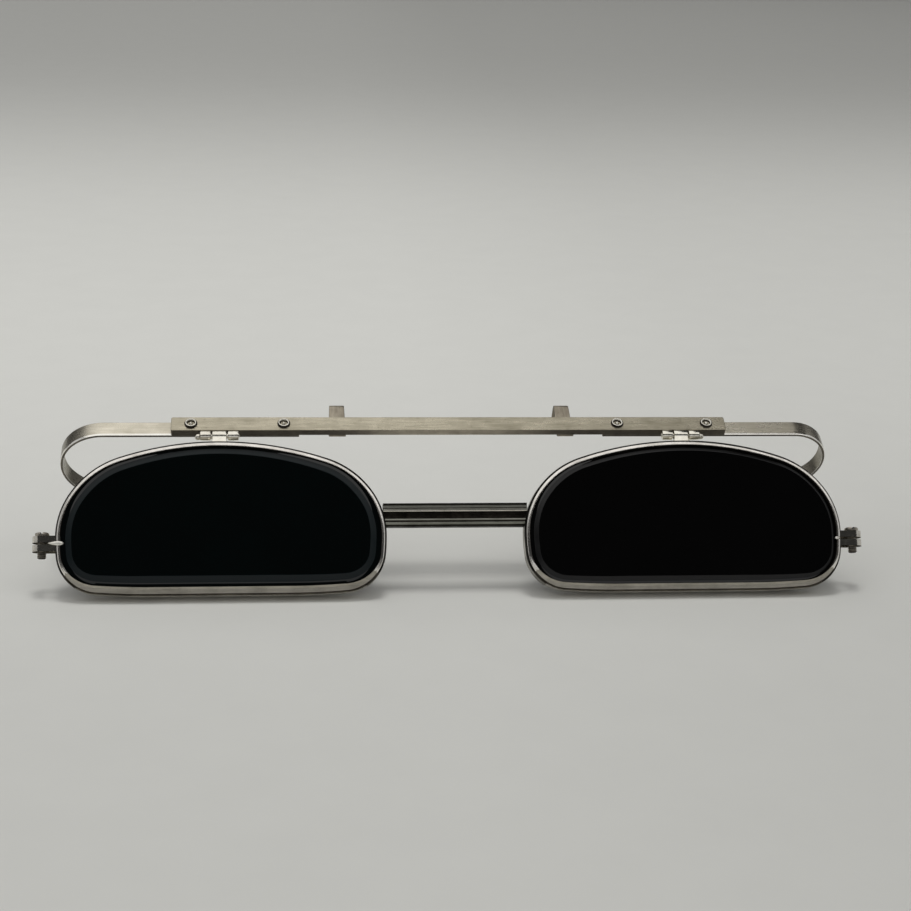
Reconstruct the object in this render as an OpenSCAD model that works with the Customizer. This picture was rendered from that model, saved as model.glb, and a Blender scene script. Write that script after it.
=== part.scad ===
// Flip-up clip-on shade for spectacles: a riveted brow bar with two spring arms
// and two hooks, and a pair of half-eye lens rims that swing on two small hinges.
// It stands as it would be put down on a table: on the lower edges of both rims
// and on the ends of the spring arms. Left and right are as seen from the front.

/* [Stance] */
// Lean of the bar's riveted face from level, in degrees
bar_lean = 27; // [22:1:32]
// Lean of the lenses from lying flat, in degrees
lens_lean = 60; // [54:1:66]

/* [Brow bar] */
// Length of the bar
bar_l = 91.4; // [86:0.2:96]
// Width of the bar, front to back
bar_w = 3.0; // [2.6:0.1:3.6]
// Thickness of the bar
bar_t = 1.2; // [1.0:0.1:1.6]
// Small flat on each long edge and corner of the bar
bar_edge = 0.15; // [0.1:0.05:0.3]

/* [Spring arms] */
// Width of the spring strip
arm_w = 3.0; // [2.4:0.1:3.4]
// Thickness of the spring strip
arm_t = 0.45; // [0.35:0.05:0.6]
// Distance from the middle of the bar to the inner end of each strip
arm_start = 25; // [22:0.5:26]
// Distance from the middle to the outermost point of each loop
arm_reach = 64; // [62:0.5:68]
// Bend radius of the left loop, on the middle of the strip
loop_r_left = 7.2; // [6:0.2:8]
// Bend radius of the right loop, on the middle of the strip
loop_r_right = 6.2; // [5.4:0.2:7.4]
// Angle through which each loop turns back under itself
loop_turn = 135; // [125:1:145]
// Straight run from the loop back towards the rim
arm_return = 3.0; // [2:0.25:4]
// Bend radius where the strip turns down again
arm_ease_r = 5.0; // [4:0.25:6]
// Bend radius of the claw at the end of the strip
claw_r = 1.6; // [1.2:0.1:2]
// Angle through which the claw curls inwards
claw_turn = 150; // [120:5:170]
// Straight tip of the claw
claw_tip = 1.2; // [0.8:0.1:1.6]

/* [Rivets] */
// Shank diameter of the four arm rivets
rivet_d = 1.1; // [0.9:0.1:1.3]
// Diameter of a rivet's flared head
rivet_head_d = 2.1; // [1.8:0.1:2.4]
// Height of a rivet's head
rivet_head_h = 0.42; // [0.3:0.02:0.5]
// Distance of the outer rivet from the end of the bar
rivet_end = 3.2; // [2.6:0.2:5]
// Distance of the inner rivet from the inner end of the strip
rivet_in = 2.5; // [2:0.1:4]

/* [Hooks] */
// Width of a hook strip
hook_w = 2.8; // [2.2:0.1:3.4]
// Thickness of a hook strip
hook_t = 0.4; // [0.3:0.05:0.6]
// Distance of each hook from the middle
hook_x = 18.8; // [16:0.2:20]
// Room between the back of the bar and the hook's leg
hook_room = 4.1; // [3.6:0.1:5]
// Bend radius of the hook, on the middle of the strip
hook_r = 0.9; // [0.6:0.05:1.2]
// Straight length of the hook's leg
hook_leg = 4.2; // [3:0.2:5.5]

/* [Hinges] */
// Outer diameter of the hinge barrels
barrel_d = 1.6; // [1.4:0.1:1.8]
// Length of the middle barrel, which belongs to the lenses
mid_barrel_l = 2.3; // [1.8:0.1:3]
// Length of each of the two outer barrels
end_barrel_l = 1.75; // [1.4:0.05:2.2]
// Gap between barrels
barrel_gap = 0.2; // [0.15:0.05:0.3]
// Diameter of the hinge pin
pin_d = 0.8; // [0.6:0.05:0.9]
// Radial clearance in the middle barrel, which turns on the pin
pin_play = 0.04; // [0.02:0.01:0.08]
// Diameter of the bead that closes the outer end of the pin
pin_bead_d = 1.05; // [0.9:0.05:1.2]
// Distance from the hinge axis to the front face of the bar
hinge_setback = 0.85; // [0.85:0.05:1.1]
// Height of the bar's riveted face above the hinge axis
bar_rise = 0.45; // [0.3:0.05:0.6]

/* [Rims] */
// Outer width of a rim
rim_w = 52.3; // [50:0.1:54]
// Outer height of a rim
rim_h = 24.9; // [23:0.1:26]
// Distance between the middles of the two rims
rim_spacing = 74.5; // [73:0.1:76]
// Distance from the hinge axis down to the top of a rim
rim_drop = 1.3; // [1.2:0.05:2]
// Height of the widest point of a rim below its top
rim_widest = 15.3; // [14.5:0.1:17]
// Shift of the rim's highest point towards the temple
rim_apex = 0.6; // [0:0.1:1.4]
// Thickness of a rim in the plane of the lens
rim_t = 0.85; // [0.75:0.05:1]
// Depth of a rim from front to back
rim_d = 3.3; // [3.1:0.05:3.6]
// How far a rim stands behind the hinge axis
rim_behind = 0.45; // [0.3:0.05:0.5]
// Radius that rounds the outer corners of the rim's section
rim_round = 0.55; // [0.4:0.05:0.65]
// Turn of the flat dome of the outline before the shoulder, in degrees
dome_turn = 18.5; // [15:0.5:20]
// Turn at which the shoulder runs into the side, in degrees
shoulder_turn = 56; // [54:0.5:59]
// Radius of the outline's upper side
side_r = 12.5; // [11.5:0.5:14]
// Radius of the gentle curve between the straight lower edge and each corner
base_r = 110; // [100:1:120]
// Turn of that gentle curve, in degrees
base_turn = 4.5; // [4:0.5:5]
// Turn at which the corner runs into the side, in degrees
corner_turn = 83.5; // [83:0.5:84.5]
// Radius of the outline's lower side
lower_side_r = 28.5; // [26:0.5:30]

/* [Lenses] */
// Depth of the groove that holds the glass
groove_d = 0.45; // [0.35:0.05:0.5]
// Thickness of each lip beside the groove
lip_t = 0.45; // [0.4:0.05:0.6]
// Clearance between glass and groove all round
glass_play = 0.03; // [0.02:0.01:0.06]
// How far the front of the glass lies below the rim's front lip
glass_sink = 0.08; // [0.04:0.02:0.2]
// Width of the ground bevel round the front of the glass
glass_bevel = 1.3; // [1:0.1:1.5]

/* [Bridge] */
// Height of the bridge
bridge_h = 4.2; // [3.6:0.1:4.6]
// Depth of the bridge from front to back
bridge_d = 2.0; // [1.8:0.05:2.1]
// Height of the groove along the front of the bridge
bridge_groove_h = 1.0; // [0.8:0.1:1.4]
// Depth of the groove along the front of the bridge
bridge_groove_d = 1.3; // [1:0.05:1.4]
// Distance from the hinge axis down to the middle of the bridge
bridge_drop = 13.6; // [12.5:0.1:15]

/* [Closing joints] */
// Distance from the hinge axis down to the slit in each rim
slit_drop = 17.7; // [16.8:0.1:18.6]
// Width of the slit in the rim and between the two ears
slit = 0.35; // [0.3:0.05:0.5]
// Thickness of an ear
ear_t = 1.05; // [0.9:0.05:1.3]
// Width of an ear from front to back
ear_w = 3.0; // [2.6:0.1:3.2]
// Distance of the screw's axis from the outside of the rim
ear_reach = 2.1; // [2:0.05:2.6]
// Diameter of the closing screw
screw_d = 1.4; // [1.2:0.1:1.6]
// Diameter of the screw's head
screw_head_d = 2.25; // [2:0.05:2.6]
// Height of the screw's head
screw_head_h = 0.7; // [0.6:0.05:0.9]
// Length of screw that stands out below the lower ear
screw_out = 1.05; // [0.6:0.05:1.4]
// Width of the screw's slot
slot_w = 0.42; // [0.35:0.01:0.5]
// Depth of the screw's slot
slot_d = 0.32; // [0.25:0.01:0.4]

/* [Hidden] */
$fn = 48;

// Radial clearance of what is riveted or peened tight
tight = 0.01;
// Overrun of a cut past the face that it leaves
past = 0.5;
// Radial clearance of the closing screw in the upper ear
screw_play = 0.05;
// Overlap of a piece with the rim before it is coped to it
cope_in = 1.5;
// How far the inner end of a hinge pin stands out of its barrel
pin_out = 0.1;
// Flare of a hinge's leg at each side where it meets the rim
tab_flare = 0.6;
// Bevel round the tip of the closing screw
screw_tip = 0.2;
// Steps of a bent strip's curves, in degrees
bend_step = 7.5;
// Steps of the outline's curves, in degrees, which are cut finer by two on each arc
outline_step = 8;

metal = [0.72, 0.69, 0.62];
spring_metal = [0.66, 0.63, 0.56];
rim_metal = [0.62, 0.60, 0.54];
dark_metal = [0.35, 0.33, 0.30];
pale_metal = [0.80, 0.78, 0.72];
dark_glass = [0.03, 0.05, 0.05];

bar_under = bar_rise - bar_t;
arm_mid = bar_under - arm_t / 2;
strip_y = hinge_setback + arm_w / 2;
rim_front = rim_d - rim_behind;
rim_mid = rim_front - rim_d / 2;
rivet_x_in = arm_start + rivet_in;
rivet_x_out = bar_l / 2 - rivet_end;
hinge_x = rim_spacing / 2 + rim_apex;
screw_x = rim_spacing / 2 + rim_w / 2 + ear_reach;

// The hinge axis lies so high that the rounded lower edge of the rims just stands on the table
rim_low_y = rim_drop + rim_h - rim_round;
hinge_z = rim_low_y * sin(lens_lean) + (rim_behind - rim_round) * cos(lens_lean) + rim_round;
// Lowest point of the arms, so that the front edge of each claw stands on the table too
claw_low = -(hinge_z + hinge_setback * sin(bar_lean)) / cos(bar_lean);
// The origin lies below the middle of the whole, from the front of the rims to the back of the claws
front_y = -rim_low_y * cos(lens_lean) - (rim_front - rim_round) * sin(lens_lean) - rim_round;
back_y = (hinge_setback + arm_w) * cos(bar_lean) - claw_low * sin(bar_lean);
hinge_y = -(front_y + back_y) / 2;

// Half of the outline's dome or base is three tangent arcs that turn through given angles.
// The side's radius is chosen, and the other two follow from the width and height to be spanned.
function quarter(across, down, turn_1, turn_2, r_side) =
    let (
        a1 = sin(turn_1), a2 = sin(turn_2) - sin(turn_1), a0 = across - r_side * (1 - sin(turn_2)),
        b1 = 1 - cos(turn_1), b2 = cos(turn_1) - cos(turn_2), b0 = down - r_side * cos(turn_2),
        det = a1 * b2 - a2 * b1
    )
    [(a0 * b2 - a2 * b0) / det, (a1 * b0 - a0 * b1) / det, r_side];

function reversed(v) = [for (i = [len(v) - 1 : -1 : 0]) v[i]];

dome_temple = quarter(rim_w / 2 - rim_apex, rim_widest, dome_turn, shoulder_turn, side_r);
dome_nasal = quarter(rim_w / 2 + rim_apex, rim_widest, dome_turn, shoulder_turn, side_r);
// Below its widest point the outline's corner radius follows from the height, and the length of
// the straight lower edge from the width
corner_r = (rim_h - rim_widest - base_r * (1 - cos(base_turn)) - lower_side_r * cos(corner_turn))
    / (cos(base_turn) - cos(corner_turn));
base_flat = rim_w / 2 - base_r * sin(base_turn)
    - corner_r * (sin(corner_turn) - sin(base_turn)) - lower_side_r * (1 - sin(corner_turn));
base_half = [base_r, corner_r, lower_side_r];
dome_turns = [dome_turn, shoulder_turn - dome_turn, 90 - shoulder_turn];
base_turns = [base_turn, corner_turn - base_turn, 90 - corner_turn];

// Stations on the outline's arcs, clockwise: each is [centre, radius, angle]
function walk(radii, turns, point, angle, i = 0) =
    i == len(radii) ? [] :
    let (
        centre = point - radii[i] * [cos(angle), sin(angle)],
        steps = ceil(turns[i] / outline_step) + 2,
        next = angle - turns[i]
    )
    concat(
        [for (k = [0 : steps - 1]) [centre, radii[i], angle - turns[i] * k / steps]],
        walk(radii, turns, centre + radii[i] * [cos(next), sin(next)], next, i + 1)
    );

// The temple half from the top down, the near end of the straight lower edge, the nasal half
stations = concat(
    walk(concat(dome_temple, reversed(base_half)), concat(dome_turns, reversed(base_turns)),
        [rim_spacing / 2 + rim_apex, -rim_drop], 90),
    [[[rim_spacing / 2 + base_flat, base_r - rim_drop - rim_h], base_r, -90]],
    walk(concat(base_half, reversed(dome_nasal)), concat(base_turns, reversed(dome_turns)),
        [rim_spacing / 2 - base_flat, -rim_drop - rim_h], -90)
);

// Frames. In the bar's frame Y runs back across the bar and Z stands on its riveted face.
// In the lenses' frame Y runs up the lens and Z out of its front. Both start at the hinge axis.
module in_bar_frame() translate([0, hinge_y, hinge_z]) rotate([bar_lean, 0, 0]) children();
module in_lens_frame() translate([0, hinge_y, hinge_z]) rotate([lens_lean, 0, 0]) children();
module on_side(side) if (side < 0) mirror([1, 0, 0]) children(); else children();

// Sweeps a section round the outline. Its points are [distance outside the outline, height], back
// to front. An open section is closed by a flat face over its first and over its last points.
module swept(section, open) {
    n = len(section);
    m = len(stations);
    points = [
        for (s = stations, p = section)
            let (q = s[0] + (s[1] + p[0]) * [cos(s[2]), sin(s[2])])
            [q[0], q[1], p[1]]
    ];
    sides = [
        for (j = [0 : m - 1], i = [0 : n - (open ? 2 : 1)])
            let (next = (i + 1) % n, row = j * n, next_row = (j + 1) % m * n)
            [row + i, next_row + i, next_row + next, row + next]
    ];
    ends = open
        ? [[for (j = [m - 1 : -1 : 0]) j * n], [for (j = [1 : m]) j * n - 1]]
        : [];
    polyhedron(points = points, faces = concat(sides, ends));
}

// Middle line of a bent strip, given as [run, turn, radius] steps: a list of [point, heading].
// It starts along X, and a positive turn bends it down.
function bent_line(steps, at = [0, 0], heading = 0, i = 0) =
    i == len(steps) ? [[at, heading]] :
    let (
        run = steps[i][0],
        turn = steps[i][1],
        r = sign(turn) * steps[i][2],
        corner = at + run * [cos(heading), sin(heading)],
        centre = corner + r * [sin(heading), -cos(heading)],
        n = ceil(abs(turn) / bend_step),
        bend = [
            for (k = [0 : 1 : n])
                let (h = heading - turn * k / max(n, 1))
                [centre + r * [-sin(h), cos(h)], h]
        ]
    )
    concat(
        run > 0 ? [[at, heading]] : [],
        [for (k = [0 : 1 : n - 1]) bend[k]],
        bent_line(steps, bend[n][0], bend[n][1], i + 1)
    );

// A strip bent along that line
module bent_strip(steps, wide, thick) {
    line = bent_line(steps);
    upper = [for (p = line) p[0] + thick / 2 * [-sin(p[1]), cos(p[1])]];
    lower = [for (p = line) p[0] - thick / 2 * [-sin(p[1]), cos(p[1])]];
    translate([0, wide / 2, 0]) rotate([90, 0, 0]) linear_extrude(wide)
        polygon(concat(upper, reversed(lower)));
}

// Rectangle with its four corners cut off
module cut_corner_rect(l, w, cut) {
    polygon([
        [cut, 0], [l - cut, 0], [l, cut], [l, w - cut],
        [l - cut, w], [cut, w], [0, w - cut], [0, cut]
    ]);
}

module rivet_holes(r) {
    for (x = [rivet_x_in, rivet_x_out])
        translate([x, hinge_setback + bar_w / 2, bar_under - arm_t - past])
            cylinder(r = r, h = bar_t + arm_t + 2 * past);
}

module top_bar() {
    color(metal) in_bar_frame() difference() {
        intersection() {
            translate([-bar_l / 2, hinge_setback, bar_under])
                rotate([90, 0, 90]) linear_extrude(bar_l) cut_corner_rect(bar_w, bar_t, bar_edge);
            translate([-bar_l / 2, hinge_setback, bar_under - past])
                linear_extrude(bar_t + 2 * past) cut_corner_rect(bar_l, bar_w, 2 * bar_edge);
        }
        for (side = [-1, 1]) on_side(side) rivet_holes(rivet_d / 2 + tight);
    }
}

module arm(side, loop_r) {
    drop_to_claw = loop_r * (1 - cos(loop_turn)) + arm_return * sin(loop_turn)
        - arm_ease_r * cos(loop_turn);
    steps = [
        [arm_reach - arm_t / 2 - loop_r - arm_start, loop_turn, loop_r],
        [arm_return, 90 - loop_turn, arm_ease_r],
        [arm_mid - claw_low - arm_t / 2 - claw_r - drop_to_claw, claw_turn, claw_r],
        [claw_tip, 0, 0]
    ];
    color(spring_metal) in_bar_frame() on_side(side) difference() {
        translate([arm_start, strip_y, arm_mid]) bent_strip(steps, arm_w, arm_t);
        rivet_holes(rivet_d / 2 + tight);
    }
}
module arm_left() arm(-1, loop_r_left);
module arm_right() arm(1, loop_r_right);

module hook(side) {
    hook_run = bar_w + hook_room - (hook_r - hook_t / 2);
    color(metal) in_bar_frame() on_side(side)
        translate([hook_x, hinge_setback, bar_under - hook_t / 2]) rotate(90)
            bent_strip([[hook_run, 90, hook_r], [hook_leg, 0, 0]], hook_w, hook_t);
}
module hook_left() hook(-1);
module hook_right() hook(1);

// A tubular rivet: a flared ring with a domed middle above the bar, and a low dome below the strip
module rivet(side, x) {
    shank_r = rivet_d / 2;
    head_r = rivet_head_d / 2;
    rim_h_low = rivet_head_h * 0.6;
    tail_h = rivet_head_h * 0.8;
    color(pale_metal) in_bar_frame() on_side(side)
        translate([x, hinge_setback + bar_w / 2, bar_rise]) rotate_extrude() polygon([
            [0, -bar_t - arm_t - tail_h], [head_r * 0.45, -bar_t - arm_t - tail_h * 0.8],
            [head_r * 0.8, -bar_t - arm_t], [shank_r, -bar_t - arm_t], [shank_r, 0],
            [head_r, 0], [head_r, rim_h_low * 0.5], [head_r * 0.88, rim_h_low],
            [head_r * 0.72, rim_h_low * 0.7], [head_r * 0.62, rim_h_low * 0.9],
            [head_r * 0.36, rivet_head_h * 0.94], [0, rivet_head_h]
        ]);
}
module rivet_left_outer() rivet(-1, rivet_x_out);
module rivet_left_inner() rivet(-1, rivet_x_in);
module rivet_right_inner() rivet(1, rivet_x_in);
module rivet_right_outer() rivet(1, rivet_x_out);

// A tube that lies along X, with a bore for the pin
module barrel_bore(x, l, r) translate([x - past, 0, 0]) rotate([0, 90, 0]) cylinder(r = r, h = l + 2 * past);
module barrel(x, l) translate([x, 0, 0]) rotate([0, 90, 0]) cylinder(d = barrel_d, h = l);

end_barrel_in = hinge_x - mid_barrel_l / 2 - barrel_gap - end_barrel_l;
end_barrel_out = hinge_x + mid_barrel_l / 2 + barrel_gap;

module hinge_barrels(side) {
    foot_h = bar_t - 2 * bar_edge;
    color(metal) in_bar_frame() on_side(side)
        for (x = [end_barrel_in, end_barrel_out]) difference() {
            union() {
                barrel(x, end_barrel_l);
                translate([x, 0, bar_rise - bar_edge - foot_h])
                    cube([end_barrel_l, hinge_setback, foot_h]);
            }
            barrel_bore(x, end_barrel_l, pin_d / 2 + tight);
        }
}
module hinge_barrels_left() hinge_barrels(-1);
module hinge_barrels_right() hinge_barrels(1);

// The pin is headed by a bead of solder outside the outer barrel
module hinge_pin(side) {
    bead_r = pin_bead_d / 2;
    pin_from = end_barrel_in - pin_out;
    pin_to = end_barrel_out + end_barrel_l + tight;
    color(pale_metal) in_bar_frame() on_side(side) union() {
        translate([pin_from, 0, 0]) rotate([0, 90, 0])
            cylinder(d = pin_d, h = pin_to - pin_from + bead_r / 2);
        translate([pin_to, 0, 0]) rotate([0, 90, 0]) cylinder(r = bead_r, h = bead_r * 0.7);
        translate([pin_to + bead_r * 0.7, 0, 0]) sphere(r = bead_r);
    }
}
module hinge_pin_left() hinge_pin(-1);
module hinge_pin_right() hinge_pin(1);

// Outer side of the rim's section, back to front, with its two rounded corners
rim_outer_side = [
    for (turn = [0 : 30 : 90])
        [rim_round * (sin(turn) - 1), rim_round * (1 - cos(turn)) - rim_behind],
    for (turn = [0 : 30 : 90])
        [rim_round * (cos(turn) - 1), rim_front - rim_round * (1 - sin(turn))]
];

// What a piece that is soldered to a rim is cut back to
module rim_cope() swept(rim_outer_side, true);

module hinge_tab(side) {
    foot_l = mid_barrel_l + 2 * tab_flare;
    tab_d = barrel_d * 0.75;
    color(rim_metal) in_lens_frame() on_side(side) difference() {
        union() {
            barrel(hinge_x - mid_barrel_l / 2, mid_barrel_l);
            translate([hinge_x, 0, -rim_behind]) linear_extrude(tab_d) polygon([
                [-mid_barrel_l / 2, 0], [mid_barrel_l / 2, 0],
                [mid_barrel_l / 2, -rim_drop * 0.7], [foot_l / 2, -rim_drop - past],
                [-foot_l / 2, -rim_drop - past], [-mid_barrel_l / 2, -rim_drop * 0.7]
            ]);
        }
        barrel_bore(hinge_x - mid_barrel_l / 2, mid_barrel_l, pin_d / 2 + pin_play);
        rim_cope();
    }
}
module hinge_tab_left() hinge_tab(-1);
module hinge_tab_right() hinge_tab(1);

module rim(side) {
    color(rim_metal) in_lens_frame() on_side(side) difference() {
        swept(concat(rim_outer_side, [
            [-rim_t, rim_front], [-rim_t, rim_front - lip_t],
            [groove_d - rim_t, rim_front - lip_t], [groove_d - rim_t, lip_t - rim_behind],
            [-rim_t, lip_t - rim_behind], [-rim_t, -rim_behind]
        ]), false);
        translate([screw_x - ear_reach - rim_t - past, -slit_drop - slit / 2, -rim_behind - past])
            cube([rim_t + 2 * past, slit, rim_d + 2 * past]);
    }
}
module rim_left() rim(-1);
module rim_right() rim(1);

// Flat dark glass: its edge sits in the groove, and a ground bevel rises to the front face
module lens(side) {
    edge_in = rim_t - groove_d + glass_play;
    edge_back = lip_t - rim_behind + glass_play;
    edge_front = rim_front - lip_t - glass_play;
    face_in = rim_t + glass_play;
    face_front = rim_front - glass_sink;
    face_back = glass_sink - rim_behind;
    color(dark_glass) in_lens_frame() on_side(side) swept([
        [-face_in, face_back], [-face_in, edge_back], [-edge_in, edge_back],
        [-edge_in, edge_front], [-face_in, edge_front], [-face_in - glass_bevel, face_front]
    ], true);
}
module lens_left() lens(-1);
module lens_right() lens(1);

// A channel whose groove faces forwards, with rounded lips, coped to both rims
module bridge() {
    half_l = rim_spacing / 2 - rim_w / 2 + cope_in;
    lip_h = (bridge_h - bridge_groove_h) / 2;
    back = rim_mid - bridge_d / 2;
    color(rim_metal) in_lens_frame() difference() {
        translate([-half_l, -bridge_drop, back]) rotate([90, 0, 90]) linear_extrude(2 * half_l)
            difference() {
                union() {
                    translate([-bridge_h / 2, 0]) square([bridge_h, bridge_d - lip_h / 2]);
                    for (s = [-1, 1])
                        translate([s * (bridge_h - lip_h) / 2, bridge_d - lip_h / 2])
                            circle(d = lip_h);
                }
                translate([-bridge_groove_h / 2, bridge_d - bridge_groove_d])
                    square([bridge_groove_h, bridge_groove_d + past]);
            }
        for (side = [-1, 1]) on_side(side) rim_cope();
    }
}

// Ear of the closing joint: a plate with a round end, coped to the rim and bored for the screw
module ear(side, low, bore_r) {
    color(rim_metal) in_lens_frame() on_side(side) difference() {
        translate([0, low, rim_mid]) rotate([-90, 0, 0]) linear_extrude(ear_t) {
            translate([screw_x, 0]) circle(d = ear_w);
            translate([screw_x - ear_reach - rim_t, -ear_w / 2]) square([ear_reach + rim_t, ear_w]);
        }
        translate([screw_x, low - past, rim_mid]) rotate([-90, 0, 0])
            cylinder(r = bore_r, h = ear_t + 2 * past);
        rim_cope();
    }
}
module ear_upper_left() ear(-1, slit / 2 - slit_drop, screw_d / 2 + screw_play);
module ear_upper_right() ear(1, slit / 2 - slit_drop, screw_d / 2 + screw_play);
module ear_lower_left() ear(-1, -slit_drop - slit / 2 - ear_t, screw_d / 2 + tight);
module ear_lower_right() ear(1, -slit_drop - slit / 2 - ear_t, screw_d / 2 + tight);

// Slotted closing screw with a low domed head, put in from above
module screw(side) {
    shank_l = slit + 2 * ear_t + screw_out;
    head_r = screw_head_d / 2;
    color(dark_metal) in_lens_frame() on_side(side)
        translate([screw_x, slit / 2 + ear_t - slit_drop, rim_mid]) rotate([-90, 0, 0]) difference() {
            rotate_extrude() polygon([
                [0, -shank_l], [screw_d / 2 - screw_tip, -shank_l], [screw_d / 2, -shank_l + screw_tip],
                [screw_d / 2, 0], [head_r, 0], [head_r, screw_head_h * 0.65],
                [head_r * 0.85, screw_head_h * 0.92], [head_r * 0.5, screw_head_h], [0, screw_head_h]
            ]);
            translate([-slot_w / 2, -head_r - past, screw_head_h - slot_d])
                cube([slot_w, 2 * head_r + 2 * past, slot_d + past]);
        }
}
module screw_left() screw(-1);
module screw_right() screw(1);

top_bar();
arm_left();
arm_right();
hook_left();
hook_right();
rivet_left_outer();
rivet_left_inner();
rivet_right_inner();
rivet_right_outer();
hinge_barrels_left();
hinge_barrels_right();
hinge_pin_left();
hinge_pin_right();
hinge_tab_left();
hinge_tab_right();
rim_left();
rim_right();
lens_left();
lens_right();
bridge();
ear_upper_left();
ear_upper_right();
ear_lower_left();
ear_lower_right();
screw_left();
screw_right();
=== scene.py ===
import bpy
import bmesh
import math
from mathutils import Matrix, Vector


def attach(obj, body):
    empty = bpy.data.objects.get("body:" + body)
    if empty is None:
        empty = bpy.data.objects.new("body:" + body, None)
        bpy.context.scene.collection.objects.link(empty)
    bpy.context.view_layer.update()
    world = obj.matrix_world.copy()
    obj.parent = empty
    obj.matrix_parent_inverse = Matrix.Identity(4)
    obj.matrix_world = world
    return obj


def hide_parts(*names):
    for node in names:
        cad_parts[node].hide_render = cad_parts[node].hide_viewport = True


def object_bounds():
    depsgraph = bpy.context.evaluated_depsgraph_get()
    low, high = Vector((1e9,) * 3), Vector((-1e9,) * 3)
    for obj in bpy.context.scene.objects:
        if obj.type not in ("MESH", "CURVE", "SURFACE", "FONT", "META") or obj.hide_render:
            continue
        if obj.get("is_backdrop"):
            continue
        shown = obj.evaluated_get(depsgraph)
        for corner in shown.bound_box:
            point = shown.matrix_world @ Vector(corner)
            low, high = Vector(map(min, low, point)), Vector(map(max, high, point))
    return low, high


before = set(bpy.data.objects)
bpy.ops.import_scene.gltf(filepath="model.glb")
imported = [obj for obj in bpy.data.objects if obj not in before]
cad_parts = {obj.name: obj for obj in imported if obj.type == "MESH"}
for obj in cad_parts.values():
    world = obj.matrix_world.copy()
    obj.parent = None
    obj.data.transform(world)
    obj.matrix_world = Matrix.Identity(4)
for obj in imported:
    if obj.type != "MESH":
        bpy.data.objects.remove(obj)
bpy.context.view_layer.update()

# %% [markdown]
# # A flip-up clip-on shade for spectacles
# The imported model is loaded above and stays as it is: it fixes every place and every motion. This
# lesson dresses it. Each real piece gets a finer mesh and a metal or glass of its own. The dressed
# object has to stay inside it.

# %% [markdown]
# ## Two leaning frames
# The brow bar and the lens frame lean at their own angles about one hinge axis. Every piece is
# modelled flat, in millimetres, in the frame that it belongs to, as a maker would draw it. One
# matrix then leans it, shrinks it to metres and puts it in its place, so no object needs a turn.
# Pairs are drawn on the right, and the matrix for the left side mirrors them.

# %% Frames of the bar and of the lenses
HINGE_AXIS = Vector((0, 0.0833645, 22.7136))
BAR_LEAN = 27
LENS_LEAN = 60
MM = 0.001


def sin_cos(degrees):
    return math.sin(math.radians(degrees)), math.cos(math.radians(degrees))


def leaned(degrees):
    lean = Matrix.Rotation(math.radians(degrees), 4, "X")
    return Matrix.Scale(MM, 4) @ Matrix.Translation(HINGE_AXIS) @ lean


bar_frame = leaned(BAR_LEAN)
lens_frame = leaned(LENS_LEAN)
side_of = {"left": Matrix.Scale(-1, 4, (1, 0, 0)), "right": Matrix.Identity(4)}
on_bar = {side: bar_frame @ flip for side, flip in side_of.items()}
on_lens = {side: lens_frame @ flip for side, flip in side_of.items()}
print("the bar leans", BAR_LEAN, "degrees and the lenses", LENS_LEAN)

# %% [markdown]
# ## From a bmesh to a piece
# A finished mesh needs the same few steps each time: into its frame, normals outwards, smooth
# shading with sharp creases kept, its materials, and the body that it rides on. One helper does them
# all. Weighted normals keep large flats flat next to their rounded edges.

# %% Helpers that finish a piece
def put(name, data):
    item = bpy.data.objects.new(name, data)
    bpy.context.scene.collection.objects.link(item)
    return item


def finish(name, bm, place, body, slot, materials, *replaced, crease=32):
    bmesh.ops.transform(bm, matrix=place, verts=bm.verts)
    bmesh.ops.recalc_face_normals(bm, faces=bm.faces)
    mesh = bpy.data.meshes.new(name)
    bm.to_mesh(mesh)
    bm.free()
    mesh.shade_smooth()
    mesh.set_sharp_from_angle(angle=math.radians(crease))
    piece = put(name, mesh)
    for material in materials:
        mesh.materials.append(material)
    flats = piece.modifiers.new("flat_faces", "WEIGHTED_NORMAL")
    flats.keep_sharp = True
    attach(piece, body)
    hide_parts(*replaced)
    print(name, len(mesh.polygons), "faces")


# %% [markdown]
# ## Rounding an edge
# No metal edge is perfectly sharp: filing and tumbling leave a small round that catches the light.
# Flat pieces get it from a bevel on the edges whose two faces meet at more than a given angle.
# Turned and swept pieces have it in their section.

# %% The helper that rounds edges
SHARP_OVER = 40


def round_edges(bm, width, segments=3, keep=None):
    bmesh.ops.recalc_face_normals(bm, faces=bm.faces)
    edges = [e for e in bm.edges if len(e.link_faces) == 2]
    edges = [e for e in edges if e.calc_face_angle() > math.radians(SHARP_OVER)]
    if keep:
        edges = [e for e in edges if keep(e)]
    bmesh.ops.bevel(
        bm, geom=edges, offset=width, offset_type="OFFSET", segments=segments,
        profile=0.5, affect="EDGES", clamp_overlap=True, material=-1,
    )


# %% [markdown]
# ## Sweeping a section
# Rims, strips, rivets and barrels are all one section carried along straight runs and arcs. That is
# what extrude and spin do, so a sweep here is a row of those two operators on the last ring.

# %% Helpers for rings and sweeps
LATHE_STEPS = 48


def ring(bm, points, closed=True):
    verts = [bm.verts.new(p) for p in points]
    pairs = list(zip(verts, verts[1:]))
    if closed:
        pairs.append((verts[-1], verts[0]))
    edges = [bm.edges.new(pair) for pair in pairs]
    return verts + edges


def spin_on(bm, geom, centre, axis, degrees, steps):
    turn = math.radians(degrees)
    made = bmesh.ops.spin(bm, geom=geom, cent=centre, axis=axis, angle=turn, steps=steps)
    return made["geom_last"]


def push_on(bm, geom, move):
    edges = [g for g in geom if isinstance(g, bmesh.types.BMEdge)]
    made = bmesh.ops.extrude_edge_only(bm, edges=edges)["geom"]
    verts = [g for g in made if isinstance(g, bmesh.types.BMVert)]
    bmesh.ops.translate(bm, vec=move, verts=verts)
    far = set(verts)
    edges = [g for g in made if isinstance(g, bmesh.types.BMEdge) and far.issuperset(g.verts)]
    return verts + edges


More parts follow.
